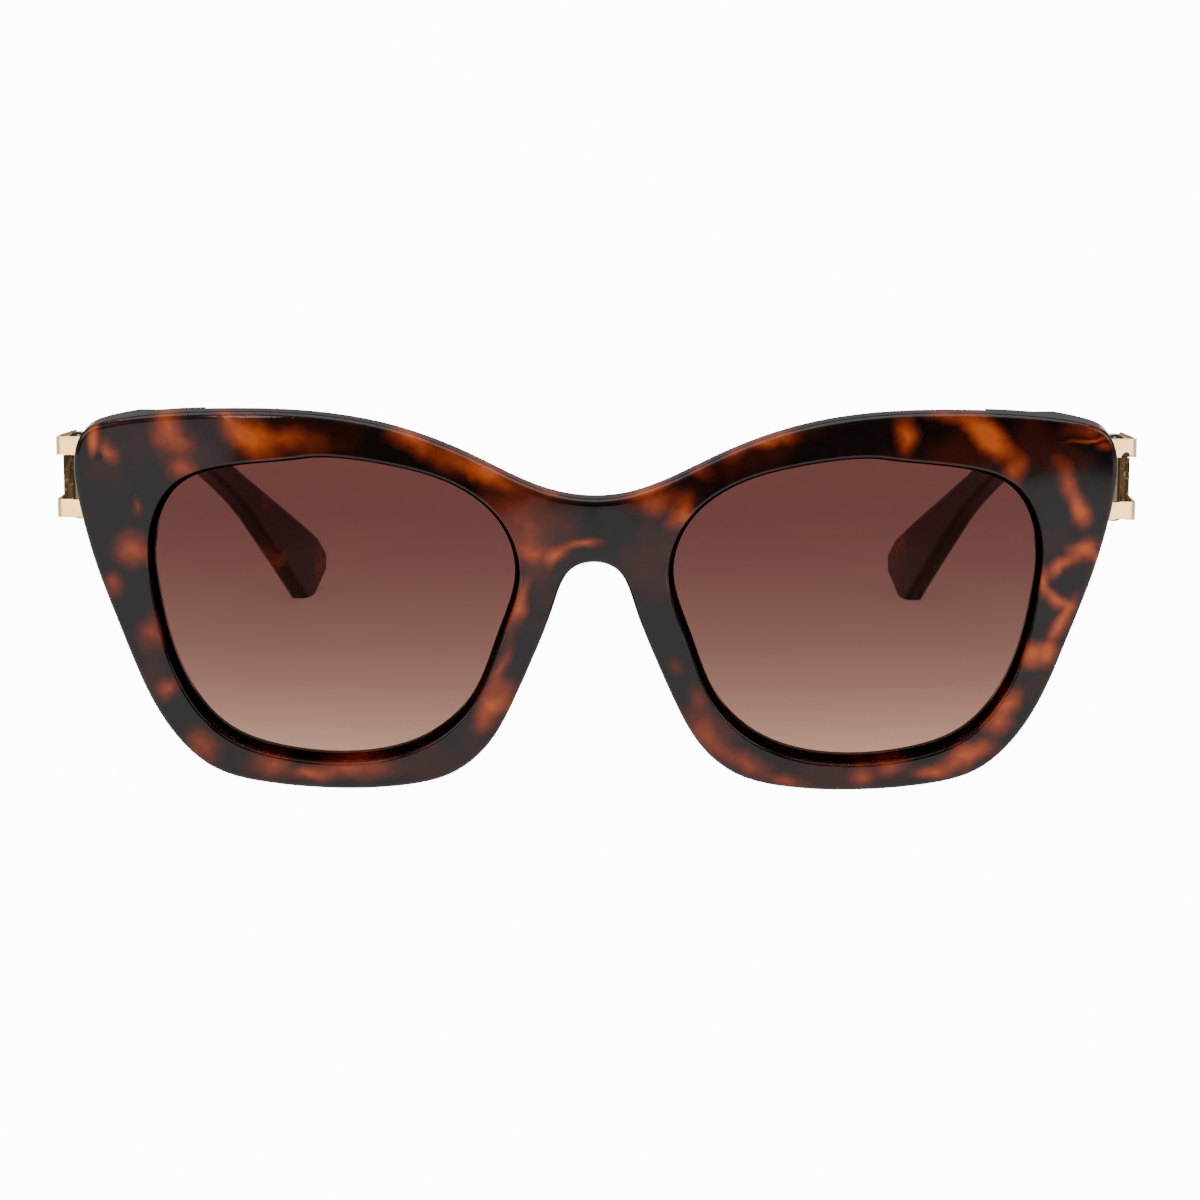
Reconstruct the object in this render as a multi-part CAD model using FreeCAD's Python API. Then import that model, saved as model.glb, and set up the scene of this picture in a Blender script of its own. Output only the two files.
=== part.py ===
import FreeCAD, Part
import math
import os

# Cat eye sunglasses, in millimetres.  +Z is up, the wearer looks towards -Y, and +X is the
# wearer's left.  The origin is on the ground plane below the middle of the bounding box.

V = FreeCAD.Vector

# --- driving dimensions -------------------------------------------------------------------
OVERALL_DEPTH = 142.0        # front of the bridge to the end of the temple tips
FACE_RADIUS = 300.0          # spherical front surface of the frame front
FACE_CENTRE_Z = 28.0         # height of that sphere's centre
FRONT_THICKNESS = 4.6
FRONT_EDGE_ROUND = 1.0
RIM_EDGE_ROUND = 0.35
BLANK_DEPTH = (-5.0, 30.0)   # y range of the outlines before the curved surfaces are cut
BLANK_HEIGHT = 60.0

OPENING_CENTRE = (36.0, 25.5)    # middle of a lens opening, x and z
OPENING_HALF = (25.8, 21.6)      # its half width and half height
BACK_LIP = 0.7                   # the rim's rear lip is this much smaller all round
LENS_FRONT_DEPTH = 1.3           # front surface of the lens, behind the frame's face
LENS_THICKNESS = 1.9
GROOVE_DEPTH = 0.8
GROOVE_PLAY = 0.06

BUTT_Y = 14.6                # flat rear face of the end pieces
BUTT_GAP = 0.2               # to the temple's front end when open
END_PIECE_LOW_Z = 35.0
END_PIECE_X = 53.9           # the end pieces start here, either side of the middle
END_PIECE_WIDE = 63.6        # they reach the butt face here
END_PIECE_BLANK = (50.0, 76.0, 2.0)   # x range and front y of the blank they are cut from

NOSE_LEAN = 22.0             # degrees from upright of the sides of the nose
PAD_CENTRE_Z = 22.6
# Nose pad sections: y, centre x, half length, half width.
PAD_SECTIONS = [(2.6, 9.9, 11.0, 2.5), (6.4, 10.3, 10.4, 2.1), (9.6, 11.0, 7.6, 1.1)]

HINGE_X = 68.2
HINGE_Y = 17.0
HINGE_Z = 42.0
BARREL_RADIUS = 1.3
BARREL_HEIGHT = 2.4
BARREL_GAP = 0.1
LEAF_THICKNESS = 0.8
FRONT_LEAF_X = 64.6
TEMPLE_LEAF_OFFSET = 1.3     # the leaf's inner side, outwards from the hinge axis
TEMPLE_LEAF_LENGTH = 10.5
TEMPLE_LEAF_THICKNESS = 1.2
TEMPLE_LEAF_HALF_HEIGHT = 2.1
SCREW_RADIUS = 0.6
SCREW_PLAY = 0.05
SCREW_HEAD_RADIUS = 1.15
SCREW_HEAD_HEIGHT = 0.8

TEMPLE_THICKNESS = 3.8
TIP_THICKNESS = 3.0
TAPER_Y = (55.0, 120.0)      # the temple thins from its full thickness between these
TEMPLE_EDGE_ROUND = 0.9
TEMPLE_FRONT_X = 72.1        # centre line of the temple at its front end
TEMPLE_FRONT_Y = BUTT_Y + BUTT_GAP
TEMPLE_TOP_Z = 47.7          # edges of the temple at its front end
TEMPLE_LOW_Z = 36.4
SIDE_BLANK = (40.0, 45.0)    # inner x and width of the temple's side-view blank
TEMPLE_INSIDE_X = 60.0       # blanks of the clasp's pieces reach from here
TEMPLE_OUTSIDE_X = 80.0      # to here

LINK_LENGTH = 22.0           # gilt clasp on the temple's front end
LINK_BAR_HEIGHT = 2.6
LINK_OUT = 3.35              # outer face, outwards from the temple's centre line
LINK_PLATE = 0.75            # inner face of its plate, outwards from the centre line
LINK_PLATE_THICKNESS = 0.3
LINK_PROUD = 0.1             # above and below the temple's edges
LINK_PLAY = 0.03
LINK_CORNER_ROUND = 0.6
WRAP_LENGTH = 6.0            # its front ends reach over the temple's edges this far back
INLAY_OUT = 2.4
NOTCH_RADIUS = 0.75
NOTCH_X = 74.0
NOTCH_DEPTH = 1.2
LOW_NOTCH_DROP = 0.35        # the lower notch's centre is below its bar
PEG_RADIUS = 0.55
PEG_LENGTH = 2.0
PEG_SETBACK = 0.5
DOME_X = 72.6
DOME_Y = 17.4
DOME_RADIUS = 1.25
DOME_SHANK_RADIUS = 0.45
DOME_SHANK = 4.5

CORE_START_Y = 30.0
CORE_HEIGHT = 1.8
CORE_THICKNESS = 1.2
CORE_BENDS = [(75.0, 36.4), (88.0, 33.4), (100.0, 27.0), (124.0, 12.6)]   # y and z behind it
RIVET_RADIUS = 0.55
RIVET_HEAD_RADIUS = 0.9
RIVET_PLAY = 0.03
RIVET_LENGTH = 2.4

# --- outlines -----------------------------------------------------------------------------
# Half of the front's outline, x and z, from the middle of the brow round to the nose arch.
FRONT_HALF = [
    (0.0, 41.7), (6.5, 42.7), (16.5, 47.1), (27.6, 51.1), (38.8, 52.8), (50.0, 52.9),
    (61.0, 52.1), (67.6, 50.9), (70.7, 49.5), (72.1, 46.6), (71.8, 40.2), (69.2, 30.3),
    (65.7, 21.0), (62.2, 12.6), (58.2, 6.4), (53.2, 2.3), (46.0, 0.5), (36.0, 0.0),
    (26.5, 0.7), (19.6, 2.7), (14.6, 7.0), (11.2, 13.0), (8.5, 19.2), (5.7, 26.4),
    (4.7, 29.4), (3.2, 31.8), (0.0, 32.9),
]
# Lens opening on the +X side, x and z, clockwise from the middle of the top.
OPENING = [
    (40.2, 46.9), (50.8, 45.5), (58.4, 42.4), (61.7, 35.5), (61.3, 27.0), (58.3, 15.8),
    (51.6, 7.2), (42.8, 4.3), (33.0, 4.0), (23.3, 6.7), (16.5, 13.0), (12.6, 22.6),
    (10.2, 31.6), (12.4, 38.3), (18.6, 43.4), (28.0, 46.2),
]
# Plan view of the temple's centre line: y and x behind the hinge.
TEMPLE_PLAN = [
    (TEMPLE_FRONT_Y - 1.0, TEMPLE_FRONT_X), (36.0, 71.2), (66.0, 68.2), (95.0, 62.6),
    (119.0, 55.5), (OVERALL_DEPTH + 2.0, 48.5),
]
# Side view of the temple, y and z.
TEMPLE_BEND_TOP = [(78.0, 39.5), (89.0, 35.9), (101.0, 28.8)]
TEMPLE_BEND_LOW = [(112.0, 16.2), (97.0, 26.0), (86.0, 31.0), (72.0, 32.9)]
TIP_TOP = (138.0, 9.3)
TIP_END_HIGH = (OVERALL_DEPTH, 6.0)
TIP_END_LOW = (OVERALL_DEPTH, 2.8)
TIP_FOOT_REAR = (136.8, 0.0)
TIP_FOOT_FRONT = (131.6, 0.0)


# --- helpers ------------------------------------------------------------------------------
def closed_spline(points, y):
    """A smooth closed wire through (x, z) points, in the plane at the given y, in two edges."""
    whole = Part.BSplineCurve()
    whole.interpolate(Points=[V(x, y, z) for x, z in points], PeriodicFlag=True)
    whole.setNotPeriodic()
    x, z = points[len(points) // 2]
    middle = whole.parameter(V(x, y, z))
    first = whole.copy()
    first.segment(whole.FirstParameter, middle)
    second = whole.copy()
    second.segment(middle, whole.LastParameter)
    return Part.Wire([first.toShape(), second.toShape()])


def prism(points):
    """A smooth outline in x and z, extruded along y right through the front."""
    y0, y1 = BLANK_DEPTH
    return Part.Face(closed_spline(points, y0)).extrude(V(0, y1 - y0, 0))


def face_ball(depth):
    """Everything more than depth behind the frame's spherical front surface."""
    centre = V(0, FACE_RADIUS, FACE_CENTRE_Z)
    return Part.makeSphere(FACE_RADIUS - depth, centre)


def box(x0, x1, y0, y1, z0, z1):
    return Part.makeBox(x1 - x0, y1 - y0, z1 - z0, V(x0, y0, z0))


def rod(radius, length, start, direction):
    return Part.makeCylinder(radius, length, start, direction)


def domed_head(radius, height, base, direction):
    """A shallow spherical cap on the plane through base, standing out along direction."""
    ball_radius = (radius ** 2 + height ** 2) / (2 * height)
    ball = Part.makeSphere(ball_radius, base - direction * (ball_radius - height))
    return ball.common(rod(2 * radius, 2 * height, base, direction))


def long_edges(shape, length):
    return [edge for edge in shape.Edges if edge.Length > length]


def mirrored(shape):
    return shape.mirror(V(0, 0, 0), V(1, 0, 0))


def opening_points(grow):
    """The lens opening's outline, moved outwards by grow."""
    scale_x = (OPENING_HALF[0] + grow) / OPENING_HALF[0]
    scale_z = (OPENING_HALF[1] + grow) / OPENING_HALF[1]
    cx, cz = OPENING_CENTRE
    return [(cx + (x - cx) * scale_x, cz + (z - cz) * scale_z) for x, z in OPENING]


# --- frame front --------------------------------------------------------------------------
def front_outline():
    left = [(-x, z) for x, z in reversed(FRONT_HALF[1:-1])]
    return FRONT_HALF + left


def lens_opening():
    """Front lip, lens groove and the smaller rear lip, as one cutting tool."""
    groove_front = LENS_FRONT_DEPTH - GROOVE_PLAY
    groove_back = LENS_FRONT_DEPTH + LENS_THICKNESS + GROOVE_PLAY
    front_lip = prism(opening_points(0.0)).cut(face_ball(groove_back))
    groove = prism(opening_points(GROOVE_DEPTH + GROOVE_PLAY))
    groove = groove.common(face_ball(groove_front)).cut(face_ball(groove_back))
    rear_lip = prism(opening_points(-BACK_LIP))
    return front_lip, groove, rear_lip


def end_piece_zone():
    """The space behind the outer corner that is left solid, up to the temple's butt face."""
    x0, x1, y0 = END_PIECE_BLANK
    start = END_PIECE_X + 0.1
    plan = [V(start, 6, 0), V(END_PIECE_WIDE, BUTT_Y, 0), V(x1, BUTT_Y, 0), V(x1, y0, 0),
            V(start, y0, 0)]
    wedge = Part.Face(Part.makePolygon(plan + plan[:1])).extrude(V(0, 0, BLANK_HEIGHT))
    side = [V(x0, y0, BLANK_HEIGHT), V(x0, BUTT_Y, BLANK_HEIGHT),
            V(x0, BUTT_Y, END_PIECE_LOW_Z + 1.5), V(x0, 9, END_PIECE_LOW_Z - 5),
            V(x0, y0, END_PIECE_LOW_Z - 5)]
    profile = Part.Face(Part.makePolygon(side + side[:1])).extrude(V(x1 - x0, 0, 0))
    return wedge.common(profile)


def make_front():
    """The moulded front: rounded all round, with end pieces behind its outer corners."""
    solid = prism(front_outline()).common(face_ball(0))
    shell = solid.cut(face_ball(FRONT_THICKNESS))
    shell = shell.makeFillet(FRONT_EDGE_ROUND, long_edges(shell, 50))
    zone = end_piece_zone()
    ends = solid.cut(face_ball(FRONT_THICKNESS).cut([zone, mirrored(zone)]))
    ends = ends.makeFillet(FRONT_EDGE_ROUND, long_edges(ends, 150))
    y0, y1 = BLANK_DEPTH
    middle = box(-END_PIECE_X, END_PIECE_X, y0, y1, -5, BLANK_HEIGHT)
    front = shell.common(middle).fuse(ends.cut(middle))
    for cutter in lens_opening():
        front = front.cut([cutter, mirrored(cutter)])
    return front.makeFillet(RIM_EDGE_ROUND, rim_edges(front))


def rim_edges(front):
    """The edges between the front's face and its two lens openings."""
    centre = V(0, FACE_RADIUS, FACE_CENTRE_Z)
    edges = []
    for edge in front.Edges:
        on_face = all(abs(vertex.Point.distanceToPoint(centre) - FACE_RADIUS) < 0.001
                      for vertex in edge.Vertexes)
        x, z = abs(edge.CenterOfMass.x), edge.CenterOfMass.z
        inside = abs(x - OPENING_CENTRE[0]) < OPENING_HALF[0] and abs(
            z - OPENING_CENTRE[1]) < OPENING_HALF[1]
        if on_face and inside and edge.Length > 40:
            edges.append(edge)
    return edges


def make_lens():
    disc = prism(opening_points(GROOVE_DEPTH)).common(face_ball(LENS_FRONT_DEPTH))
    return disc.cut(face_ball(LENS_FRONT_DEPTH + LENS_THICKNESS))


def pad_section(y, centre_x, half_length, half_width):
    """A closed oval in the plane at y, its long axis leaning with the side of the nose."""
    lean = math.radians(NOSE_LEAN)
    points = []
    for step in range(12):
        turn = math.radians(30 * step)
        along = half_length * math.cos(turn)
        across = half_width * math.sin(turn)
        x = centre_x - along * math.sin(lean) + across * math.cos(lean)
        z = PAD_CENTRE_Z + along * math.cos(lean) + across * math.sin(lean)
        points.append((x, z))
    return closed_spline(points, y)


def make_nose_pad():
    """A pad glued to the rear of the nose side, leaning away from the nose to the back."""
    sections = [pad_section(*section) for section in PAD_SECTIONS]
    pad = Part.makeLoft(sections, True, False)
    return pad.common(face_ball(FRONT_THICKNESS))


# --- hinge --------------------------------------------------------------------------------
def barrel(z, length):
    return rod(BARREL_RADIUS, length, V(HINGE_X, HINGE_Y, z), V(0, 0, 1))


def screw_hole(radius):
    return rod(radius, 30, V(HINGE_X, HINGE_Y, HINGE_Z - 15), V(0, 0, 1))


def barrel_z(index):
    """Lower end of the barrel: -1 below the middle one, 0 the middle one, 1 above it."""
    return HINGE_Z - BARREL_HEIGHT / 2 + index * (BARREL_HEIGHT + BARREL_GAP)


def make_front_hinge():
    """The plate on the end piece, with an upper and a lower barrel."""
    low = barrel_z(-1)
    high = barrel_z(1) + BARREL_HEIGHT
    leaf = box(FRONT_LEAF_X, HINGE_X + BARREL_RADIUS, BUTT_Y, BUTT_Y + LEAF_THICKNESS, low, high)
    leaf = leaf.makeFillet(1.2, [edge for edge in leaf.Edges
                                 if abs(edge.CenterOfMass.x - FRONT_LEAF_X) < 0.01
                                 and abs(edge.CenterOfMass.z - HINGE_Z) > 3])
    hinge = leaf
    for index in (-1, 1):
        z = barrel_z(index)
        neck = box(HINGE_X - BARREL_RADIUS, HINGE_X + BARREL_RADIUS, BUTT_Y + 0.1, HINGE_Y,
                   z, z + BARREL_HEIGHT)
        hinge = hinge.fuse([neck, barrel(z, BARREL_HEIGHT)])
    holes = [screw_hole(SCREW_RADIUS + RIVET_PLAY)]
    holes += [rivet_hole(start, V(0, -1, 0)) for start in front_rivet_places()]
    return hinge.cut(holes).removeSplitter()


def make_temple_hinge_blank(play):
    """The leaf let into the temple's inner side, grown by play on every side."""
    leaf_x = HINGE_X + TEMPLE_LEAF_OFFSET
    leaf = box(leaf_x - play, leaf_x + TEMPLE_LEAF_THICKNESS + play,
               HINGE_Y - 1.2 - play, HINGE_Y + TEMPLE_LEAF_LENGTH + play,
               HINGE_Z - TEMPLE_LEAF_HALF_HEIGHT - play, HINGE_Z + TEMPLE_LEAF_HALF_HEIGHT + play)
    rear = [edge for edge in leaf.Edges if abs(edge.CenterOfMass.z - HINGE_Z) > 2
            and edge.CenterOfMass.y > HINGE_Y + TEMPLE_LEAF_LENGTH - 0.1
            and edge.BoundBox.XLength > 1]
    return leaf.makeFillet(1.0 + play, rear)


def make_temple_hinge():
    """The temple's leaf with the middle barrel."""
    z = barrel_z(0)
    neck = box(HINGE_X, HINGE_X + TEMPLE_LEAF_OFFSET + 0.1, HINGE_Y - 0.9, HINGE_Y + BARREL_RADIUS,
               z, z + BARREL_HEIGHT)
    hinge = make_temple_hinge_blank(0).fuse([neck, barrel(z, BARREL_HEIGHT)])
    holes = [screw_hole(SCREW_RADIUS + SCREW_PLAY)]
    holes += [rivet_hole(start, V(1, 0, 0)) for start in temple_rivet_places()]
    return hinge.cut(holes).removeSplitter()


def make_hinge_screw():
    """A slotted screw from above; its thread holds in the lower barrel."""
    low = barrel_z(-1)
    high = barrel_z(1) + BARREL_HEIGHT
    shank = rod(SCREW_RADIUS, high - low, V(HINGE_X, HINGE_Y, low), V(0, 0, 1))
    head = rod(SCREW_HEAD_RADIUS, SCREW_HEAD_HEIGHT, V(HINGE_X, HINGE_Y, high), V(0, 0, 1))
    head = head.makeFillet(0.25, [head.Edges[0]])
    slot = box(HINGE_X - 2, HINGE_X + 2, HINGE_Y - 0.15, HINGE_Y + 0.15,
               high + SCREW_HEAD_HEIGHT - 0.35, high + SCREW_HEAD_HEIGHT + 1)
    return shank.fuse(head).cut(slot).removeSplitter()


# --- rivets -------------------------------------------------------------------------------
def front_rivet_places():
    """Where the end-piece rivets enter the front hinge's plate."""
    y = BUTT_Y + LEAF_THICKNESS
    return [V(FRONT_LEAF_X + 1.2, y, HINGE_Z + rise) for rise in (-2.0, 2.0)]


def temple_rivet_places():
    x = HINGE_X + TEMPLE_LEAF_OFFSET
    return [V(x, HINGE_Y + along, HINGE_Z) for along in (4.2, 8.0)]


def rivet_hole(start, direction):
    return rod(RIVET_RADIUS + RIVET_PLAY, RIVET_LENGTH + 0.1, start - direction, direction).fuse(
        rod(RIVET_RADIUS + RIVET_PLAY, RIVET_LENGTH + 0.1, start, direction)).removeSplitter()


def make_rivets(places, direction):
    rivets = []
    for start in places:
        shank = rod(RIVET_RADIUS, RIVET_LENGTH, start, direction)
        head = domed_head(RIVET_HEAD_RADIUS, 0.4, start, direction * -1)
        rivets.append(shank.fuse(head).removeSplitter())
    return Part.Compound(rivets)


# --- temple -------------------------------------------------------------------------------
def taper(y):
    """How thick the temple is at y, as a share of its full thickness."""
    start, end = TAPER_Y
    share = min(max((y - start) / (end - start), 0.0), 1.0)
    return 1.0 - share * (1.0 - TIP_THICKNESS / TEMPLE_THICKNESS)


def plan_band(inner, outer, tapered=False):
    """The temple's plan between two offsets from its centre line, extruded upwards."""
    line = Part.BSplineCurve()
    line.interpolate([V(x, y, -5) for y, x in TEMPLE_PLAN])
    sides = []
    for offset in (inner, outer):
        points = []
        for step in range(9):
            t = line.FirstParameter + (line.LastParameter - line.FirstParameter) * step / 8
            along = line.tangent(t)[0]
            middle = line.value(t)
            reach = offset * taper(middle.y) if tapered else offset
            points.append(middle + V(along.y, -along.x, 0) * reach)
        side = Part.BSplineCurve()
        side.interpolate(points)
        sides.append(side)
    ends = [Part.LineSegment(sides[0].value(sides[0].FirstParameter),
                             sides[1].value(sides[1].FirstParameter)),
            Part.LineSegment(sides[0].value(sides[0].LastParameter),
                             sides[1].value(sides[1].LastParameter))]
    edges = [curve.toShape() for curve in sides + ends]
    outline = Part.Wire(Part.__sortEdges__(edges))
    return Part.Face(outline).extrude(V(0, 0, BLANK_HEIGHT))


def temple_side():
    """The temple seen from the side: straight arm, bend over the ear, chamfered tip."""
    x, wide = SIDE_BLANK
    front_top = V(x, TEMPLE_FRONT_Y, TEMPLE_TOP_Z)
    front_low = V(x, TEMPLE_FRONT_Y, TEMPLE_LOW_Z)
    top = [V(x, y, z) for y, z in TEMPLE_BEND_TOP]
    low = [V(x, y, z) for y, z in TEMPLE_BEND_LOW]
    corners = [V(x, y, z) for y, z in
               (TIP_TOP, TIP_END_HIGH, TIP_END_LOW, TIP_FOOT_REAR, TIP_FOOT_FRONT)]
    top_bend = Part.BSplineCurve()
    top_bend.interpolate(Points=top, InitialTangent=(top[0] - front_top).normalize(),
                         FinalTangent=(corners[0] - top[-1]).normalize())
    low_bend = Part.BSplineCurve()
    low_bend.interpolate(Points=low, InitialTangent=(low[0] - corners[-1]).normalize(),
                         FinalTangent=(front_low - low[-1]).normalize())
    edges = [Part.LineSegment(front_top, top[0]).toShape(), top_bend.toShape()]
    path = [top[-1]] + corners + [low[0]]
    edges += [Part.LineSegment(a, b).toShape() for a, b in zip(path, path[1:])]
    edges += [low_bend.toShape(), Part.LineSegment(low[-1], front_low).toShape(),
              Part.LineSegment(front_low, front_top).toShape()]
    return Part.Face(Part.Wire(edges)).extrude(V(wide, 0, 0))


def temple_edge(y, rise_top=None, rise_low=None):
    """Height of the straight arm's upper or lower edge at y, moved by the given rise."""
    if rise_top is not None:
        y1, z1 = TEMPLE_BEND_TOP[0]
        z0, rise = TEMPLE_TOP_Z, rise_top
    else:
        y1, z1 = TEMPLE_BEND_LOW[-1]
        z0, rise = TEMPLE_LOW_Z, rise_low
    return z0 + (z1 - z0) * (y - TEMPLE_FRONT_Y) / (y1 - TEMPLE_FRONT_Y) + rise


def side_panel(y0, y1, grow, rear_round):
    """A plate in side view between the arm's edges, grown by grow, with rounded rear corners."""
    x = TEMPLE_INSIDE_X
    wide = TEMPLE_OUTSIDE_X - x
    corners = [V(x, y0, temple_edge(y0, rise_top=grow)), V(x, y1, temple_edge(y1, rise_top=grow)),
               V(x, y1, temple_edge(y1, rise_low=-grow)), V(x, y0, temple_edge(y0, rise_low=-grow))]
    panel = Part.Face(Part.makePolygon(corners + corners[:1])).extrude(V(wide, 0, 0))
    rear = [edge for edge in panel.Edges
            if abs(edge.BoundBox.XLength - wide) < 0.01 and edge.CenterOfMass.y > y1 - 0.1]
    return panel.makeFillet(rear_round, rear)


def core_strip(play):
    """The flat stiffening wire in the middle of the temple."""
    start_z = (temple_edge(CORE_START_Y, rise_top=0) + temple_edge(CORE_START_Y, rise_low=0)) / 2
    route = [(CORE_START_Y, start_z)] + CORE_BENDS
    half = CORE_HEIGHT / 2 + play
    x, wide = SIDE_BLANK
    upper = [V(x, y, z + half) for y, z in route]
    lower = [V(x, y, z - half) for y, z in reversed(route)]
    strip = Part.Face(Part.makePolygon(upper + lower + upper[:1])).extrude(V(wide, 0, 0))
    if play:
        strip = strip.fuse(box(x, x + wide, CORE_START_Y - play, CORE_START_Y + play,
                               start_z - half, start_z + half))
    return strip.common(plan_band(-CORE_THICKNESS / 2 - play, CORE_THICKNESS / 2 + play))


def link_peg(play):
    """The small peg in the notch under the upper bar, flush with the bar's lower side."""
    seat = V(NOTCH_X, TEMPLE_FRONT_Y + PEG_SETBACK - play,
             temple_edge(TEMPLE_FRONT_Y, rise_top=LINK_PROUD - LINK_BAR_HEIGHT))
    return rod(PEG_RADIUS + play, PEG_LENGTH + 2 * play, seat, V(0, 1, 0))


def notches():
    """Half-round nicks in the front ends of both bars, at their lower edges."""
    upper = V(NOTCH_X, TEMPLE_FRONT_Y - 0.1,
              temple_edge(TEMPLE_FRONT_Y, rise_top=LINK_PROUD - LINK_BAR_HEIGHT))
    lower = V(NOTCH_X - 0.7, TEMPLE_FRONT_Y - 0.1,
              temple_edge(TEMPLE_FRONT_Y, rise_low=-LINK_PROUD) - LOW_NOTCH_DROP)
    return [rod(NOTCH_RADIUS, NOTCH_DEPTH, start, V(0, 1, 0)) for start in (upper, lower)]


def link_screw(direction, play):
    """A domed screw through a bar of the clasp into the temple, from above (1) or below (-1)."""
    if direction > 0:
        z = temple_edge(DOME_Y, rise_top=LINK_PROUD)
    else:
        z = temple_edge(DOME_Y, rise_low=-LINK_PROUD)
    up = V(0, 0, direction)
    seat = V(DOME_X, DOME_Y, z - 0.25 * direction)
    shank = rod(DOME_SHANK_RADIUS + play, DOME_SHANK + play, seat, up * -1)
    if play:
        return shank.fuse(rod(DOME_RADIUS + play, 2, seat, up))
    rim = rod(DOME_RADIUS, 0.25, seat, up)
    crown = domed_head(DOME_RADIUS, 0.5, seat + up * 0.25, up)
    return shank.fuse([rim, crown]).removeSplitter()


def clasp_loop():
    """The clasp in side view: two bars joined by a round bend behind, as wide as the blank."""
    y0 = TEMPLE_FRONT_Y
    y1 = y0 + LINK_LENGTH
    outer = side_panel(y0, y1, LINK_PROUD, 4.4)
    inner = side_panel(y0 - 1, y1 - LINK_BAR_HEIGHT, LINK_PROUD - LINK_BAR_HEIGHT, 2.0)
    return outer, outer.cut(inner)


def make_link(notched):
    """The gilt clasp: a loop open to the front, a thin plate inside it, and wrapped ends."""
    y0 = TEMPLE_FRONT_Y
    outer, loop = clasp_loop()
    surface = loop.common(plan_band(LINK_PLATE, LINK_OUT))
    plate = outer.common(plan_band(LINK_PLATE, LINK_PLATE + LINK_PLATE_THICKNESS))
    half = TEMPLE_THICKNESS / 2
    wraps = loop.common(wrap_zone(y0, y0 + WRAP_LENGTH)).common(
        plan_band(-half, LINK_PLATE + 0.1))
    link = surface.fuse([plate, wraps]).removeSplitter().common(corner_rounder(y0))
    if notched:
        link = link.cut(notches() + [link_peg(LINK_PLAY)])
    return link.cut([link_screw(1, LINK_PLAY), link_screw(-1, LINK_PLAY)])


def wrap_zone(y0, y1):
    return box(TEMPLE_INSIDE_X, TEMPLE_OUTSIDE_X, y0, y1, BLANK_HEIGHT / 2, BLANK_HEIGHT)


def corner_rounder(y0):
    """A block whose outer front corner, seen from above, rounds the ends of both bars."""
    outside = TEMPLE_FRONT_X + LINK_OUT
    block = box(TEMPLE_INSIDE_X, outside, y0, y0 + 2 * LINK_LENGTH, 0, BLANK_HEIGHT)
    corner = [edge for edge in block.Edges if edge.BoundBox.ZLength > BLANK_HEIGHT - 1
              and edge.CenterOfMass.x > outside - 1 and edge.CenterOfMass.y < y0 + 1]
    return block.makeFillet(LINK_CORNER_ROUND, corner)


def make_inlay():
    """The tortoiseshell slip inside the clasp."""
    y1 = TEMPLE_FRONT_Y + LINK_LENGTH - LINK_BAR_HEIGHT
    shrink = LINK_PROUD - LINK_BAR_HEIGHT - LINK_PLAY
    panel = side_panel(TEMPLE_FRONT_Y + 0.3, y1 - LINK_PLAY, shrink, 2.0 - LINK_PLAY)
    under = LINK_PLATE + LINK_PLATE_THICKNESS + LINK_PLAY
    return panel.common(plan_band(under, INLAY_OUT)).cut(link_peg(2 * LINK_PLAY))


def make_temple():
    half = TEMPLE_THICKNESS / 2
    arm = plan_band(-half, half, tapered=True).common(temple_side())
    edges = [edge for edge in arm.Edges
             if edge.CenterOfMass.y > TEMPLE_FRONT_Y + 0.05 and edge.CenterOfMass.z > 0.05]
    arm = arm.makeFillet(TEMPLE_EDGE_ROUND, edges)
    y0 = TEMPLE_FRONT_Y
    seat = side_panel(y0 - 1, y0 + LINK_LENGTH + LINK_PLAY, LINK_PROUD + 1, 4.4)
    seat = seat.common(plan_band(LINK_PLATE - LINK_PLAY, 4))
    tongue = side_panel(y0 - 2, y0 + 40, LINK_PROUD - LINK_BAR_HEIGHT - LINK_PLAY, 0.5)
    wraps = wrap_zone(y0 - 1, y0 + WRAP_LENGTH + LINK_PLAY).cut(tongue)
    hinge_seat = make_temple_hinge_blank(LINK_PLAY)
    cutters = [seat, wraps, hinge_seat, core_strip(LINK_PLAY)]
    cutters += [link_screw(1, LINK_PLAY), link_screw(-1, LINK_PLAY)]
    cutters += [rivet_hole(start, V(1, 0, 0)) for start in temple_rivet_places()]
    return arm.cut(cutters)


# --- assembly -----------------------------------------------------------------------------
def one_side():
    """Every piece of the wearer's left side; most of the right side is its mirror image."""
    return {
        "lens": make_lens(),
        "nose_pad": make_nose_pad(),
        "front_hinge": make_front_hinge(),
        "front_hinge_rivets": make_rivets(front_rivet_places(), V(0, -1, 0)),
        "hinge_screw": make_hinge_screw(),
        "temple": make_temple(),
        "temple_hinge": make_temple_hinge(),
        "temple_hinge_rivets": make_rivets(temple_rivet_places(), V(1, 0, 0)),
        "core_wire": core_strip(0),
        "link": make_link(True),
        "link_inlay": make_inlay(),
        "link_screws": Part.Compound([link_screw(1, 0), link_screw(-1, 0)]),
    }


def main():
    os.makedirs("parts", exist_ok=True)
    front = make_front()
    for start in front_rivet_places():
        hole = rivet_hole(start, V(0, -1, 0))
        front = front.cut([hole, mirrored(hole)])
    nodes = {"front_frame": front}
    for name, shape in one_side().items():
        nodes[name + "_left"] = shape
        nodes[name + "_right"] = mirrored(shape)
    nodes["link_right"] = mirrored(make_link(False))
    nodes["link_peg_left"] = link_peg(0).common(clasp_loop()[1])
    for name, shape in nodes.items():
        shape.translate(V(0, -OVERALL_DEPTH / 2, 0))
        shape.exportStep("parts/" + name + ".step")
        size = shape.BoundBox
        print(name, len(shape.Solids), "solids", round(shape.Volume, 1), "mm3", shape.isValid(),
              [round(v, 2) for v in (size.XMin, size.XMax, size.YMin, size.YMax,
                                     size.ZMin, size.ZMax)])


main()
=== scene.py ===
import math

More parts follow.
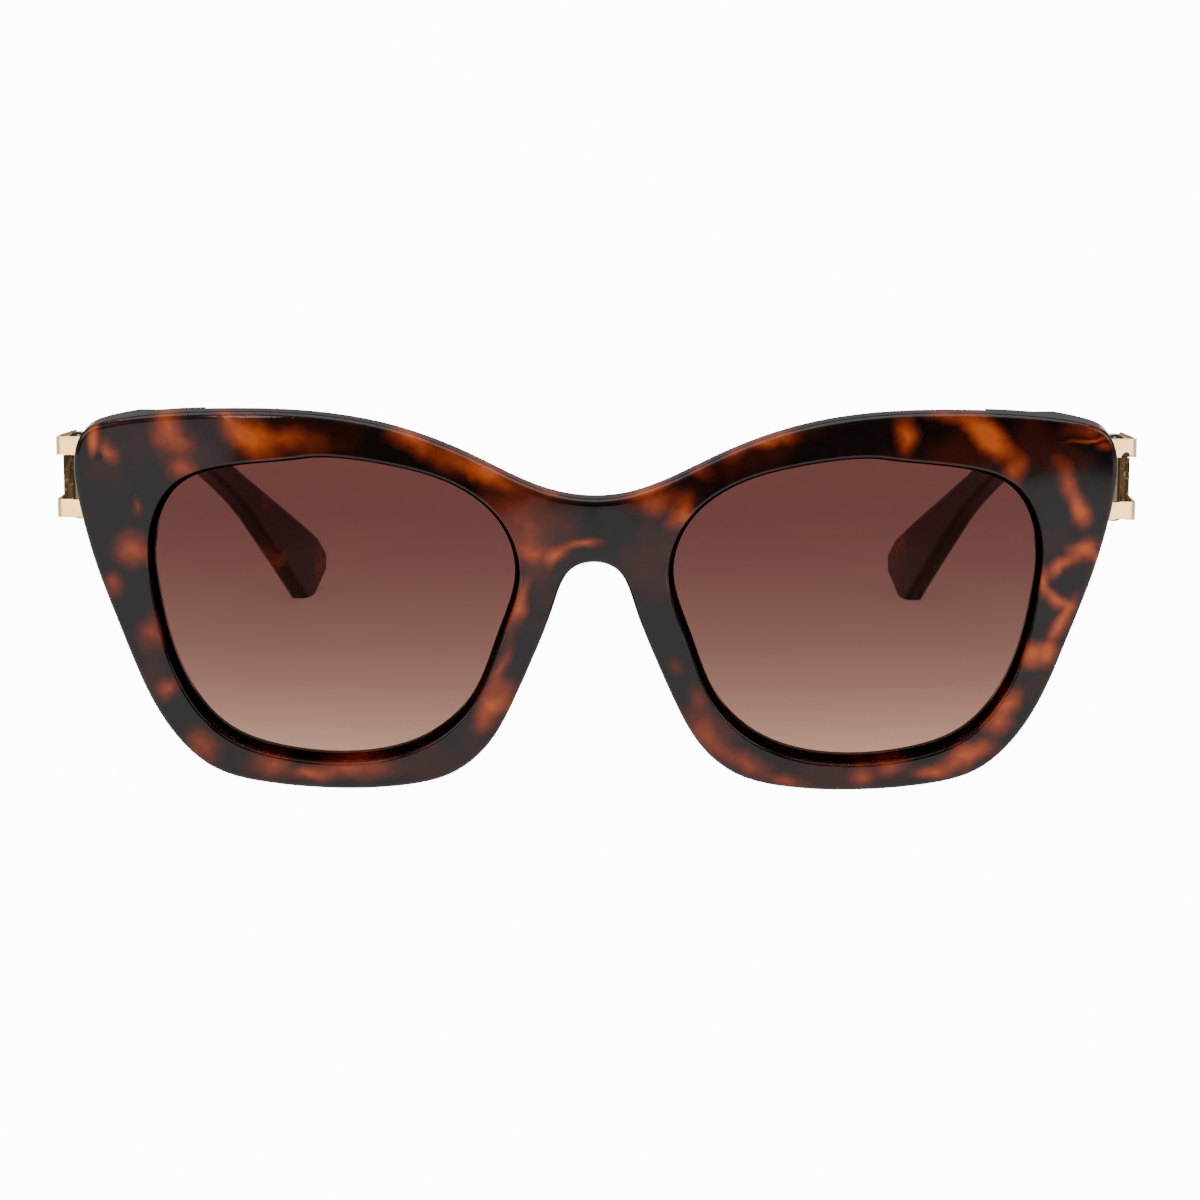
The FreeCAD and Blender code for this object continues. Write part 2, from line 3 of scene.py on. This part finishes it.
import bmesh
import bpy
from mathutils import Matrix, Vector
from mathutils.bvhtree import BVHTree


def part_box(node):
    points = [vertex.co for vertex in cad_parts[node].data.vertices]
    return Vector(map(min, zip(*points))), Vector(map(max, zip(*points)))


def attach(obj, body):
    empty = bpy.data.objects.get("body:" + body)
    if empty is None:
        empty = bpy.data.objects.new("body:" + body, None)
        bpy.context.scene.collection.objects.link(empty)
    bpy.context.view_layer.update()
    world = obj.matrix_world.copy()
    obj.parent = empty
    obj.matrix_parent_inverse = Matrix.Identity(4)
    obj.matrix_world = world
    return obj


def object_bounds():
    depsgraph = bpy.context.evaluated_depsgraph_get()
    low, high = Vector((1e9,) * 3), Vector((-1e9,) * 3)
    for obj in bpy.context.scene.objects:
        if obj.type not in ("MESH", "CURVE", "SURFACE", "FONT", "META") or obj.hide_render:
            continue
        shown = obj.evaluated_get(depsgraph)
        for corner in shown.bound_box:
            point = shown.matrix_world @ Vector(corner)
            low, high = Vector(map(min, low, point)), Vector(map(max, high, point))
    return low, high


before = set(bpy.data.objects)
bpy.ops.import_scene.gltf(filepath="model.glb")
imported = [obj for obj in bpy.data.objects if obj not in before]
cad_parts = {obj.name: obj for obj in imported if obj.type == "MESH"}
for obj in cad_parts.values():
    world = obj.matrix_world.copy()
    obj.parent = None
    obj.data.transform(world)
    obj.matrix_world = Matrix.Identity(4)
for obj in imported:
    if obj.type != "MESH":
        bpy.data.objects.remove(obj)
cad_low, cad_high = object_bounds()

# Cat eye sunglasses: tortoiseshell front and temples, brown gradient lenses, pale gold clasps.
# Lengths are in metres, in the frame's own axes: +Z up, -Y the way the wearer looks.

MM = 0.001
SIDES = {"left": 1, "right": -1}      # the wearer's left is +X

FRONT_Y = cad_low.y                   # foremost point of the bridge
LENS_LOW, LENS_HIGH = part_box("lens_left")

# --- camera -------------------------------------------------------------------------------
CAMERA_DISTANCE = 0.598
CAMERA_RISE = math.radians(12.0)
CAMERA_TURN = math.radians(0.8)
CAMERA_LENS = 130.9
CAMERA_AIM = Vector((0.83 * MM, FRONT_Y, 27.8 * MM))


def make_camera():
    data = bpy.data.cameras.new("camera")
    data.lens = CAMERA_LENS
    data.sensor_width = 36.0
    data.clip_start = 0.01
    data.clip_end = 20.0
    camera = bpy.data.objects.new("camera", data)
    bpy.context.scene.collection.objects.link(camera)
    back = Vector((math.sin(CAMERA_TURN) * math.cos(CAMERA_RISE),
                   -math.cos(CAMERA_TURN) * math.cos(CAMERA_RISE),
                   math.sin(CAMERA_RISE)))
    camera.location = CAMERA_AIM + back * CAMERA_DISTANCE
    camera.rotation_mode = "QUATERNION"
    camera.rotation_quaternion = (-back).to_track_quat("-Z", "Y")
    bpy.context.scene.camera = camera


make_camera()


# --- shader tools -------------------------------------------------------------------------
class Value:
    """A node's output that Python's operators combine by adding Math nodes."""

    def __init__(self, sheet, socket):
        self.sheet = sheet
        self.socket = socket

    def math(self, operation, *others):
        inputs = {place: item for place, item in enumerate((self,) + others)}
        return self.sheet.node("Math", {"operation": operation}, inputs)

    def __add__(self, other):
        return self.math("ADD", other)

    def __radd__(self, other):
        return self.sheet.node("Math", {"operation": "ADD"}, {0: other, 1: self})

    def __sub__(self, other):
        return self.math("SUBTRACT", other)

    def __rsub__(self, other):
        return self.sheet.node("Math", {"operation": "SUBTRACT"}, {0: other, 1: self})

    def __mul__(self, other):
        return self.math("MULTIPLY", other)

    def __rmul__(self, other):
        return self.sheet.node("Math", {"operation": "MULTIPLY"}, {0: other, 1: self})

    def __truediv__(self, other):
        return self.math("DIVIDE", other)

    def __rtruediv__(self, other):
        return self.sheet.node("Math", {"operation": "DIVIDE"}, {0: other, 1: self})

    def __pow__(self, other):
        return self.math("POWER", other)

    def absolute(self):
        return self.math("ABSOLUTE")

    def step(self, low, high):
        """0 at low and 1 at high, smooth between and level beyond; low may be the larger."""
        return self.sheet.node("MapRange", {"interpolation_type": "SMOOTHSTEP", "clamp": True},
                               {"Value": self, "From Min": low, "From Max": high})


class Sheet:
    """The node tree of a material or of the world."""

    def __init__(self, owner):
        self.owner = owner
        owner.use_nodes = True
        self.tree = owner.node_tree
        self.tree.nodes.clear()

    @classmethod
    def material(cls, name):
        sheet = cls(bpy.data.materials.new(name))
        sheet.place = sheet.node("TexCoord", out="Object")
        return sheet

    def node(self, kind, settings=None, inputs=None, out=0):
        node = self.tree.nodes.new("ShaderNode" + kind)
        for name, value in (settings or {}).items():
            if name == "stops":
                self.set_stops(node.color_ramp, value)
            else:
                setattr(node, name, value)
        for name, value in (inputs or {}).items():
            if isinstance(value, Value):
                self.tree.links.new(value.socket, node.inputs[name])
            else:
                node.inputs[name].default_value = value
        return Value(self, node.outputs[out]) if node.outputs else None

    @staticmethod
    def set_stops(ramp, stops):
        while len(ramp.elements) < len(stops):
            ramp.elements.new(1.0)
        for element, (position, colour) in zip(ramp.elements, stops):
            element.position = position
            element.color = tuple(colour) + (1.0,)

    def noise(self, where, scale, detail=2.0, rough=0.5, out="Fac"):
        return self.node("TexNoise", None, {"Vector": where, "Scale": scale, "Detail": detail,
                                            "Roughness": rough}, out)

    def blend(self, share, low, high):
        """A mix of two colours."""
        return self.node("Mix", {"data_type": "RGBA"}, {0: share, 6: low, 7: high}, 2)

    def shift(self, where, by, amount):
        """where moved by a colour pattern centred on grey."""
        centred = self.node("VectorMath", {"operation": "SUBTRACT"}, {0: by, 1: (0.5, 0.5, 0.5)})
        moved = self.node("VectorMath", {"operation": "SCALE"}, {0: centred, "Scale": amount})
        return self.node("VectorMath", {"operation": "ADD"}, {0: where, 1: moved})

    def axis(self, name):
        return self.node("SeparateXYZ", None, {0: self.place}, name)

    def bump(self, height, distance, strength=1.0):
        return self.node("Bump", None, {"Height": height, "Distance": distance,
                                        "Strength": strength}, "Normal")

    def finish(self, **sockets):
        """A Principled shader with the named sockets, as the material's surface."""
        inputs = {name.replace("_", " "): value for name, value in sockets.items()}
        return self.close(self.node("BsdfPrincipled", None, inputs, "BSDF"))

    def close(self, shader, kind="Material"):
        """The shader as the surface of the material, or of the world."""
        self.node("Output" + kind, None, {"Surface": shader})
        return self.owner


# --- tortoiseshell ------------------------------------------------------------------------
HORN_BLACK = (0.0060, 0.0028, 0.0024)
HORN_DARK_RED = (0.040, 0.0062, 0.0032)
HORN_RED = (0.115, 0.0150, 0.0050)
HORN_AMBER = (0.270, 0.0400, 0.0080)
HORN_ORANGE = (0.510, 0.0930, 0.0160)

# Patches of the front that let light through: x, z, half length and half width in millimetres,
# lean of the long axis from the horizontal in degrees, and strength. The list is a copy, rounded
# to half millimetres, of a table that a separate program worked out.
FRONT_PATCHES = [
    # the wearer's right rim: corner, outer side, lower edge
    (-69.5, 48.5, 2.5, 1.5, 80, 1.00), (-67.0, 47.0, 2.5, 1.5, -50, 0.70),
    (-58.5, 50.5, 5.0, 3.0, -70, 0.80), (-57.0, 45.0, 2.5, 2.0, -45, 0.50),
    (-63.0, 39.5, 2.0, 1.5, 80, 0.45), (-64.0, 33.5, 4.0, 3.5, 20, 0.75),
    (-67.0, 28.0, 3.0, 2.0, 60, 0.55), (-61.5, 22.0, 4.0, 3.0, 60, 0.60),
    (-59.5, 14.0, 2.5, 2.5, 50, 0.55), (-54.0, 5.5, 4.0, 3.0, -40, 0.65),
    (-45.0, 3.0, 4.0, 2.5, -10, 0.60), (-39.5, 2.0, 4.0, 1.5, 0, 0.60),
    (-33.5, 3.0, 9.0, 2.5, 5, 0.80),
    # its brow
    (-51.0, 51.5, 3.0, 2.0, -30, 0.60), (-47.5, 49.5, 6.0, 3.5, -20, 1.00),
    (-42.5, 50.0, 8.0, 2.5, -5, 0.50), (-24.5, 49.5, 6.0, 2.5, -20, 0.85),
    (-19.0, 46.5, 4.5, 2.5, -25, 0.70), (-14.5, 45.0, 6.0, 2.5, -25, 1.00),
    # its nose side and the bridge
    (-14.0, 13.0, 5.0, 3.0, 60, 1.00), (-13.0, 18.0, 6.0, 1.5, 70, 0.70),
    (-10.5, 26.5, 6.0, 1.5, 75, 0.75), (-8.5, 38.5, 9.0, 7.5, -60, 0.42),
    (-8.5, 34.5, 4.0, 2.0, -10, 0.60), (-5.0, 34.0, 3.0, 1.5, 40, 0.85),
    (-1.5, 35.0, 4.0, 1.0, 5, 0.90), (-6.5, 43.0, 4.5, 1.0, -10, 0.70),
    (7.0, 43.0, 6.0, 1.5, 15, 0.95), (8.5, 41.5, 5.5, 2.5, 0, 0.60),
    (12.0, 40.0, 3.5, 2.0, 60, 0.90), (14.5, 46.0, 3.0, 1.5, -30, 0.50),
    # the wearer's left rim: nose side, lower edge
    (11.0, 18.5, 2.0, 1.5, -60, 0.40), (14.5, 13.5, 4.0, 2.0, -60, 0.45),
    (15.5, 8.5, 6.5, 4.0, -50, 0.60), (20.5, 4.5, 6.5, 2.5, -30, 0.60),
    (26.5, 1.5, 4.5, 1.5, -5, 0.50), (37.5, 2.0, 3.0, 2.0, 5, 0.55),
    (41.5, 3.0, 3.5, 2.0, 10, 0.60), (47.0, 2.5, 4.0, 1.5, 10, 0.80),
    (51.5, 4.5, 6.0, 2.5, 20, 1.00),
    # its brow and corner
    (19.5, 48.5, 3.5, 2.0, 30, 0.55), (23.0, 49.0, 3.0, 1.5, 20, 0.70),
    (25.0, 50.5, 4.5, 2.0, 10, 0.60), (42.5, 50.5, 3.5, 2.5, 80, 1.00),
    (48.0, 53.0, 4.5, 1.5, -15, 0.60), (54.5, 49.5, 7.5, 2.5, -40, 1.00),
    (58.5, 45.0, 2.5, 2.0, 60, 0.60), (68.5, 50.0, 5.0, 2.0, -5, 0.50),
    (69.0, 48.5, 5.0, 0.5, 0, 0.90), (70.5, 47.5, 2.0, 1.0, 0, 0.70),
    # its outer side
    (65.5, 42.5, 5.0, 2.0, -70, 0.70), (67.0, 39.0, 3.5, 2.0, -80, 1.15),
    (64.5, 31.0, 4.0, 1.5, 40, 0.85), (67.5, 33.5, 3.0, 2.0, 10, 0.90),
    (69.5, 32.0, 2.5, 1.0, -55, 0.80), (62.0, 28.5, 3.0, 1.5, 85, 0.90),
    (64.0, 26.5, 4.0, 1.5, -15, 0.90), (65.0, 23.5, 6.0, 1.5, 65, 1.00),
    (61.5, 19.0, 4.0, 2.5, 10, 0.95), (63.5, 19.0, 2.5, 1.5, 65, 0.90),
    (57.5, 12.0, 4.0, 2.5, 60, 0.80), (56.5, 9.0, 3.0, 2.5, 40, 0.70),
]

# Black eyes inside those patches, in the same terms and from the same table.
FRONT_EYES = [
    (-68.5, 46.5, 1.0, 1.0, 0, 1.00), (62.0, 23.5, 3.5, 1.5, 75, 1.00),
    (66.0, 29.5, 3.5, 2.0, 40, 1.00),
]
PATCH_LEVEL = 0.9                     # in the middle of a lone patch of strength 1


def patch_field(sheet, where, patches):
    """Brightest in the middle of each patch and 0 outside them all; neighbours add up."""
    field = None
    for x, z, long, wide, lean, strength in patches:
        local = sheet.node("Mapping", {"vector_type": "TEXTURE"}, {
            "Vector": where, "Location": (x * MM, 0, z * MM),
            "Rotation": (0, -math.radians(lean), 0), "Scale": (long * MM, 10.0, wide * MM)})
        spot = sheet.node("TexGradient", {"gradient_type": "SPHERICAL"}, {"Vector": local}, "Fac")
        spot = (spot * strength) ** 2
        field = spot if field is None else field + spot
    return field ** 0.5 * PATCH_LEVEL


def horn_colour(sheet, field):
    return sheet.node("ValToRGB", {"stops": [
        (0.02, HORN_BLACK), (0.17, HORN_DARK_RED), (0.33, HORN_RED), (0.55, HORN_AMBER),
        (0.85, HORN_ORANGE)]}, {"Fac": field}, "Color")


def horn_finish(sheet, colour):
    """Polished plastic: faint moulding waves and hair-fine wipe marks."""
    waves = sheet.noise(sheet.place, 70.0, 1.0)
    wipes = sheet.noise(sheet.place, 900.0, 3.0, 0.6)
    return sheet.finish(
        Base_Color=colour, Roughness=0.05 + wipes * 0.07, IOR=1.50,
        Normal=sheet.bump(waves, 0.00010, 0.5))


def front_horn():
    sheet = Sheet.material("horn_front")
    drift = sheet.noise(sheet.place, 130.0, 1.0, 0.5, "Color")
    where = sheet.shift(sheet.place, drift, 3.4 * MM)
    curl = sheet.noise(sheet.place, 420.0, 1.0, 0.5, "Color")
    where = sheet.shift(where, curl, 1.2 * MM)
    ripple = sheet.noise(where, 330.0, 3.0, 0.55)
    cloud = sheet.noise(sheet.place, 95.0, 2.0, 0.5)
    field = patch_field(sheet, where, FRONT_PATCHES)
    eyes = patch_field(sheet, where, FRONT_EYES).step(0.12, 0.55)
    field = field + cloud.step(0.42, 0.70) * 0.15 + (ripple - 0.5) * (field + 0.10) * 0.8
    return horn_finish(sheet, horn_colour(sheet, field * (1 - eyes)))


def loose_horn(name, scale, cover):
    """Random patches, for pieces whose pattern isn't tied to the front's."""
    sheet = Sheet.material(name)
    drift = sheet.noise(sheet.place, 110.0, 2.0, 0.5, "Color")
    where = sheet.shift(sheet.place, drift, 9 * MM)
    broad = sheet.noise(where, scale, 1.0, 0.4)
    ripple = sheet.noise(where, scale * 4, 3.0, 0.55)
    field = (broad - (1.0 - cover)) * 3.6 + (ripple - 0.5) * 0.7
    return horn_finish(sheet, horn_colour(sheet, field))


def inlay_slip():
    """The brown slip between the clasp's bars: upright ribs, flecked with olive gold."""
    sheet = Sheet.material("inlay_brown")
    upright = sheet.node("Mapping", {"vector_type": "POINT"},
                         {"Vector": sheet.place, "Scale": (1.0, 1.0, 0.12)})
    ribs = sheet.noise(upright, 2600.0, 2.0, 0.6)
    flecks = sheet.noise(sheet.place, 1500.0, 3.0, 0.6)
    tone = sheet.blend(ribs.step(0.35, 0.65), (0.045, 0.022, 0.008, 1), (0.20, 0.105, 0.040, 1))
    tone = sheet.blend(flecks.step(0.56, 0.68), tone, (0.42, 0.29, 0.12, 1))
    return sheet.finish(Base_Color=tone, Roughness=0.35 + ribs * 0.2, IOR=1.5,
                        Specular_IOR_Level=0.15, Normal=sheet.bump(ribs, 0.00008, 0.8))


# --- lenses -------------------------------------------------------------------------------
# Tint of the glass from the lower edge of the lens to the upper: height share and colour.
LENS_TINTS = [
    (0.05, (0.690, 0.400, 0.295)), (0.15, (0.535, 0.285, 0.212)), (0.26, (0.385, 0.195, 0.151)),
    (0.39, (0.288, 0.137, 0.111)), (0.52, (0.242, 0.107, 0.089)), (0.65, (0.196, 0.077, 0.069)),
    (0.79, (0.175, 0.063, 0.057)), (0.94, (0.180, 0.063, 0.056))]
COATED_IOR, PLAIN_IOR = 1.04, 1.5     # face on, where the coating kills reflections, and at a glance


def lens_glass():
    """Coated tinted glass: almost no reflection face on, a bright one at a glance."""
    sheet = Sheet.material("lens_brown_gradient")
    share = (sheet.axis("Z") - LENS_LOW.z) / (LENS_HIGH.z - LENS_LOW.z)
    tint = sheet.node("ValToRGB", {"stops": LENS_TINTS}, {"Fac": share}, "Color")
    coated, plain = (sheet.node("BsdfPrincipled", None, {
        "Base Color": tint, "Roughness": 0.0, "IOR": ior, "Transmission Weight": 1.0}, "BSDF")
        for ior in (COATED_IOR, PLAIN_IOR))
    glance = sheet.node("LayerWeight", None, {"Blend": 0.5}, "Facing").step(0.18, 0.65)
    return sheet.close(sheet.node("MixShader", None, {0: glance, 1: coated, 2: plain}, "Shader"))


# --- metals -------------------------------------------------------------------------------
# Painted shade in the hollow between the clasp's bars, as the two ends of each soft edge of that
# painted dark:
# outwards from the middle of the glasses, then the lower edge and the upper one.
PAINTED_SHADE_ACROSS = (73.16 * MM, 73.12 * MM)
PAINTED_SHADE_LOW = (38.75 * MM, 38.85 * MM)
PAINTED_SHADE_HIGH = (45.3 * MM, 45.1 * MM)


def metal(name, colour, worn, roughness, grain, painted_shade=None):
    """Plated metal with fine polishing lines; painted_shade, if given, paints near-black shade into
    the hollow between the clasp's bars.
    """
    sheet = Sheet.material(name)
    cloud = sheet.noise(sheet.place, 500.0, 3.0, 0.6)
    stretched = sheet.node("Mapping", {"vector_type": "POINT"},
                           {"Vector": sheet.place, "Scale": (1.0, 0.08, 1.0)})
    lines = sheet.noise(stretched, 9000.0, 2.0, 0.6)
    tone = sheet.blend(cloud.step(0.35, 0.75), colour + (1.0,), worn + (1.0,))
    # painted shade: the hollow between the clasp's bars turns near black
    if painted_shade:
        across, up = sheet.axis("X").absolute(), sheet.axis("Z")
        shade_mask = across.step(*PAINTED_SHADE_ACROSS) * up.step(*PAINTED_SHADE_LOW) * up.step(*PAINTED_SHADE_HIGH)
        tone = sheet.blend(shade_mask, tone, painted_shade + (1.0,))
    return sheet.finish(Base_Color=tone, Metallic=1.0,
                        Roughness=roughness + (lines - 0.5) * grain + (cloud - 0.5) * 0.08,
                        Normal=sheet.bump(lines, 0.00001, 0.4))


# the last colour is the painted shade for the hollow between the clasp's bars
GILT = metal("pale_gold", (1.0, 0.74, 0.40), (0.98, 0.68, 0.33), 0.17, 0.08, (0.016, 0.010, 0.006))
NICKEL = metal("satin_nickel", (0.62, 0.60, 0.56), (0.52, 0.49, 0.45), 0.32, 0.16)
BLUED = metal("blackened_steel", (0.045, 0.045, 0.055), (0.02, 0.02, 0.025), 0.28, 0.10)


def dress(node, material):
    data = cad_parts[node].data
    data.materials.clear()
    data.materials.append(material)


def dress_all():
    horn = front_horn()
    temple_horn = loose_horn("horn_temple", 75.0, 0.47)
    inlay = inlay_slip()
    glass = lens_glass()
    dress("front_frame", horn)
    dress("link_peg_left", BLUED)
    for side in SIDES:
        dress("lens_" + side, glass)
        dress("nose_pad_" + side, horn)
        dress("temple_" + side, temple_horn)
        dress("link_inlay_" + side, inlay)
        dress("link_" + side, GILT)
        for part in ("front_hinge_", "front_hinge_rivets_", "temple_hinge_",
                     "temple_hinge_rivets_", "core_wire_", "hinge_screw_"):
            dress(part + side, NICKEL)
        dress("link_screws_" + side, BLUED)


dress_all()


# --- clasp beads --------------------------------------------------------------------------
BEAD_RADIUS = 0.20 * MM
BEAD_SINK = 0.10 * MM
BEAD_STEP = 0.46 * MM
BEAD_START = 0.75 * MM                # from the clasp's front end to the first bead
BEAD_STOP = 4.5 * MM                  # no bead is nearer than this to its rear end
BEAD_OUTER = 0.6 * MM                 # outer rows, in from the clasp's outer face
BEAD_INNER = 2.3 * MM                 # inner row, out from its inner side


def bead_row(work, clasp, x, start_z, skip=(0, 0)):
    """Beads along y on whatever lies under start_z on the clasp, except between skip's ends."""
    low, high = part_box(clasp)
    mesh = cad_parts[clasp].data
    surface = BVHTree.FromPolygons([tuple(vert.co) for vert in mesh.vertices],
                                   [tuple(face.vertices) for face in mesh.polygons])
    y = low.y + BEAD_START
    while y < high.y - BEAD_STOP:
        hit = surface.ray_cast(Vector((x, y, start_z)), Vector((0, 0, -1)))[0]
        if hit and not skip[0] < y < skip[1]:
            bead = bmesh.ops.create_uvsphere(work, u_segments=8, v_segments=5, radius=BEAD_RADIUS)
            bmesh.ops.translate(work, verts=bead["verts"],
                                vec=hit + Vector((0, 0, BEAD_RADIUS - BEAD_SINK)))
        y += BEAD_STEP


def make_beads(side, sign):
    """Milled beads along the tops of the clasp's two bars."""
    clasp, dome = "link_" + side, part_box("link_screws_" + side)
    low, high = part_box(clasp)
    outer = sign * (max(abs(low.x), abs(high.x)) - BEAD_OUTER)
    inner = sign * (min(abs(low.x), abs(high.x)) + BEAD_INNER)
    middle = (low.z + high.z) / 2
    work = bmesh.new()
    bead_row(work, clasp, outer, high.z + MM)
    bead_row(work, clasp, inner, high.z + MM, (dome[0].y - BEAD_STEP, dome[1].y + BEAD_STEP))
    bead_row(work, clasp, outer, middle)
    for face in work.faces:
        face.smooth = True
    mesh = bpy.data.meshes.new("clasp_beads_" + side)
    work.to_mesh(mesh)
    work.free()
    beads = bpy.data.objects.new("clasp_beads_" + side, mesh)
    bpy.context.scene.collection.objects.link(beads)
    mesh.materials.append(GILT)
    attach(beads, "temple_" + side + "_arm")


for side, sign in SIDES.items():
    make_beads(side, sign)


# --- stage --------------------------------------------------------------------------------
WHITE = (1, 1, 1, 1)
PAPER_LEVEL = 13.0                    # floor and world, as the camera sees them
FLOOR_GLOW = 0.7                      # how much of the floor shines by itself for everything else
ROOM_LEVEL = 0.22                     # the world for everything else
FLOOR_HALF = 8.0
FLAG_LEFT, FLAG_RIGHT = -0.21, 0.60
FLAG_TOP = 0.60
FLAG_RISE, FLAG_TURN = 0.018, 0.20    # its foot rises this much up to here on the right
FLAG_FALL = 0.07                      # and then comes down again at this slope
FLAG_FOOT = 0.001                     # but never below this
FLAG_GAP = 0.35                       # from the bridge to the card
FLAG_CUTS = 48
CARD_ACROSS = (0.084, 0.118)          # a bright card's inner and outer edges, from the middle
CARD_AHEAD = (0.29, 0.15)             # its far and near ends, from the bridge
CARD_HEIGHT = 0.001
CARD_LEVEL = 6.5
CARD_COLOUR = (1.0, 0.78, 0.52, 1)
# Lamps: place, the point each one faces, width and height, power.
LAMPS = {
    "top_box": ((0.0, 0.10, 1.1), (0, 0, 0), (1.4, 0.9), 6.0),
    "front_box": ((0.0, -1.3, 1.1), (0, 0, 0.02), (1.6, 0.7), 13.0),
    "left_box": ((-1.2, -0.3, 0.7), (0, 0, 0.02), (0.8, 0.8), 3.5),
    "right_box": ((1.2, -0.3, 0.7), (0, 0, 0.02), (0.8, 0.8), 3.5),
}


def plate(name, mesh, material, glossy_only=True):
    piece = bpy.data.objects.new(name, mesh)
    bpy.context.scene.collection.objects.link(piece)
    mesh.materials.append(material)
    if glossy_only:
        piece.visible_camera = False
        piece.visible_diffuse = False
        piece.visible_shadow = False
        piece.visible_transmission = False


def grid(name, low, high, level, cuts=1):
    """A flat sheet from low to high (x, y) at one height."""
    mesh = bpy.data.meshes.new(name)
    work = bmesh.new()
    bmesh.ops.create_grid(work, x_segments=cuts, y_segments=1, size=1.0)
    for vert in work.verts:
        vert.co = Vector((low[0] + (vert.co.x + 1) / 2 * (high[0] - low[0]),
                          low[1] + (vert.co.y + 1) / 2 * (high[1] - low[1]), level))
    work.to_mesh(mesh)
    work.free()
    return mesh


def glow(sheet, strength, colour=WHITE):
    return sheet.node("Emission", None, {"Color": colour, "Strength": strength}, "Emission")


def make_floor():
    """White paper: blown out for the camera alone, matt and partly glowing for all else."""
    sheet = Sheet.material("floor_white")
    grain = sheet.noise(sheet.place, 300.0, 2.0)
    tone = sheet.blend(grain, (0.88, 0.88, 0.88, 1), (0.92, 0.92, 0.92, 1))
    matt = sheet.node("BsdfDiffuse", None, {"Color": tone}, "BSDF")
    paper = sheet.node("MixShader", None, {0: FLOOR_GLOW, 1: matt, 2: glow(sheet, 1.0)}, "Shader")
    seen = sheet.node("LightPath", out="Is Camera Ray")
    blown = glow(sheet, PAPER_LEVEL)
    shader = sheet.node("MixShader", None, {0: seen, 1: paper, 2: blown}, "Shader")
    plate("floor", grid("floor", (-FLOOR_HALF, -FLOOR_HALF), (FLOOR_HALF, FLOOR_HALF), 0.0),
          sheet.close(shader), glossy_only=False)


def make_flag():
    """A black card in front, out of sight, that the upper part of the front reflects."""
    sheet = Sheet.material("flag_black")
    mesh = grid("flag", (FLAG_LEFT, 0.0), (FLAG_RIGHT, 1.0), 0.0, FLAG_CUTS)
    for vert in mesh.vertices:
        x, share = vert.co.x, vert.co.y
        foot = FLAG_RISE * (x / FLAG_TURN) ** 2
        if x > FLAG_TURN:
            foot = max(FLAG_RISE - (x - FLAG_TURN) * FLAG_FALL, FLAG_FOOT)
        vert.co = Vector((x, FRONT_Y - FLAG_GAP, foot + share * (FLAG_TOP - foot)))
    plate("flag", mesh, sheet.finish(Base_Color=(0.002, 0.002, 0.002, 1), Roughness=1.0,
                                     Specular_IOR_Level=0.0))


def make_cards():
    """Two small bright cards on the floor that the clasps' front faces reflect."""
    sheet = Sheet.material("card_bright")
    material = sheet.close(glow(sheet, CARD_LEVEL, CARD_COLOUR))
    for side, sign in SIDES.items():
        left, right = sorted(sign * edge for edge in CARD_ACROSS)
        far, near = (FRONT_Y - gap for gap in CARD_AHEAD)
        plate("card_" + side, grid("card_" + side, (left, far), (right, near), CARD_HEIGHT), material)


def lamp(name, place, aim, size, power):
    data = bpy.data.lights.new(name, "AREA")
    data.shape = "RECTANGLE"
    data.size, data.size_y = size
    data.energy = power
    light = bpy.data.objects.new(name, data)
    light.location = place
    light.rotation_mode = "QUATERNION"
    light.rotation_quaternion = (Vector(aim) - Vector(place)).to_track_quat("-Z", "Y")
    bpy.context.scene.collection.objects.link(light)


def make_world():
    """Blown-out white for the camera, a dim grey room for everything else."""
    sheet = Sheet(bpy.data.worlds.new("studio"))
    room, paper = (sheet.node("Background", None, {"Color": WHITE, "Strength": level})
                   for level in (ROOM_LEVEL, PAPER_LEVEL))
    seen = sheet.node("LightPath", out="Is Camera Ray")
    shader = sheet.node("MixShader", None, {0: seen, 1: room, 2: paper}, "Shader")
    bpy.context.scene.world = sheet.close(shader, "World")


def make_light():
    for name, (place, aim, size, power) in LAMPS.items():
        lamp(name, place, aim, size, power)


make_floor()
make_flag()
make_cards()
make_light()
make_world()
